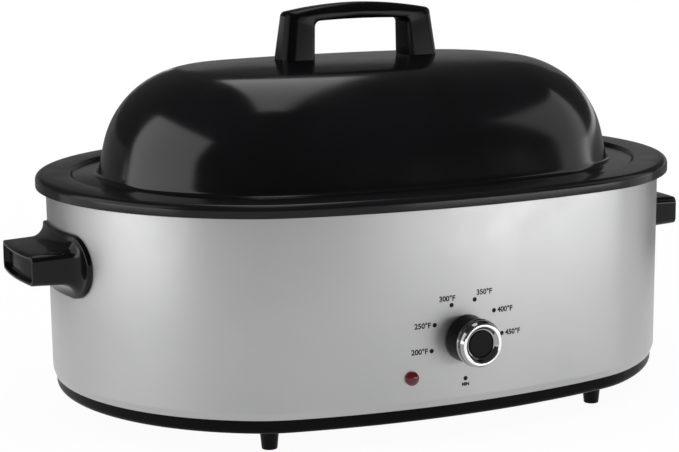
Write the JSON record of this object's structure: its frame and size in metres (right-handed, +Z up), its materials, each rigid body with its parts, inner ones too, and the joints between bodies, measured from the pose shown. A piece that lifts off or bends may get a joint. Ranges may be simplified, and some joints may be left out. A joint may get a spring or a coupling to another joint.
{
  "type": "electric roaster oven",
  "caption": "Oval countertop roaster oven with a heated well, lift-out cookwell and rack, domed lift-off lid, side handles and a turning temperature knob.",
  "frame": {"origin": "middle of the overall footprint on the plane that the feet stand on", "axes": "+X to the right-hand side handle, +Y to the back, +Z up; the knob is towards -Y"},
  "size_m": [0.5772, 0.4057, 0.3155],
  "materials": {
    "silver_paint": "satin",
    "base_black": "satin",
    "foot_rubber": "matt",
    "zinc_steel": "plated",
    "liner_aluminium": "satin",
    "heater_foil": "foil",
    "fibre_blanket": "fibrous",
    "thermostat_resin": "moulded",
    "copper": "bright",
    "knob_black": "satin",
    "knob_chrome": "polished",
    "red_lens": "gloss",
    "lamp_glass": "clear",
    "handle_black": "satin",
    "terminal_nylon": "moulded",
    "lead_sleeve": "matt",
    "well_enamel": "enamel",
    "rack_steel": "plated",
    "lid_enamel": "gloss enamel"
  },
  "bodies": {
    "base": {"outer_housing": "silver_paint", "base_pan": "base_black", "foot_front_left": "foot_rubber", "foot_front_right": "foot_rubber", "foot_rear_left": "foot_rubber", "foot_rear_right": "foot_rubber", "foot_screws": "zinc_steel", "foot_nuts": "zinc_steel", "housing_brackets": "zinc_steel", "inner_liner": "liner_aluminium", "heater_band": "heater_foil", "heater_terminals": "zinc_steel", "insulation_blanket": "fibre_blanket", "heat_shield": "liner_aluminium", "thermostat_body": "thermostat_resin", "thermostat_screws": "zinc_steel", "thermostat_bulb": "copper", "bulb_clip": "zinc_steel", "capillary_tube": "copper", "indicator_lens": "red_lens", "indicator_lamp": "lamp_glass", "lamp_clip": "zinc_steel", "side_handle_right": "handle_black", "side_handle_left": "handle_black", "side_handle_screws": "zinc_steel", "side_handle_washers": "zinc_steel", "cord_gland": "handle_black", "terminal_block": "terminal_nylon", "lead_wires": "lead_sleeve"},
    "knob": {"thermostat_shaft": "zinc_steel", "knob_skirt": "knob_black", "knob_ring": "knob_chrome", "knob_cap": "knob_black"},
    "cookwell": {"cookwell": "well_enamel"},
    "rack": {"rack_frame": "rack_steel", "rack_rods": "rack_steel"},
    "lid": {"lid_shell": "lid_enamel", "lid_handle": "handle_black", "lid_handle_screws": "zinc_steel", "lid_handle_washers": "zinc_steel"}
  },
  "joints": [
    {"name": "knob_turn", "type": "hinge", "parent": "base", "child": "knob", "pos_m": [0, -0.185, 0.078], "axis": [0, 1, 0], "range_deg": [-189.8, 75.9]},
    {"name": "cookwell_lift", "type": "slide", "parent": "base", "child": "cookwell", "axis": [0, 0, 1], "range_m": [0, 0.16]},
    {"name": "lid_lift", "type": "slide", "parent": "cookwell", "child": "lid", "axis": [0, 0, 1], "range_m": [0, 0.15]},
    {"name": "rack_lift", "type": "slide", "parent": "cookwell", "child": "rack", "axis": [0, 0, 1], "range_m": [0, 0.115]}
  ]
}
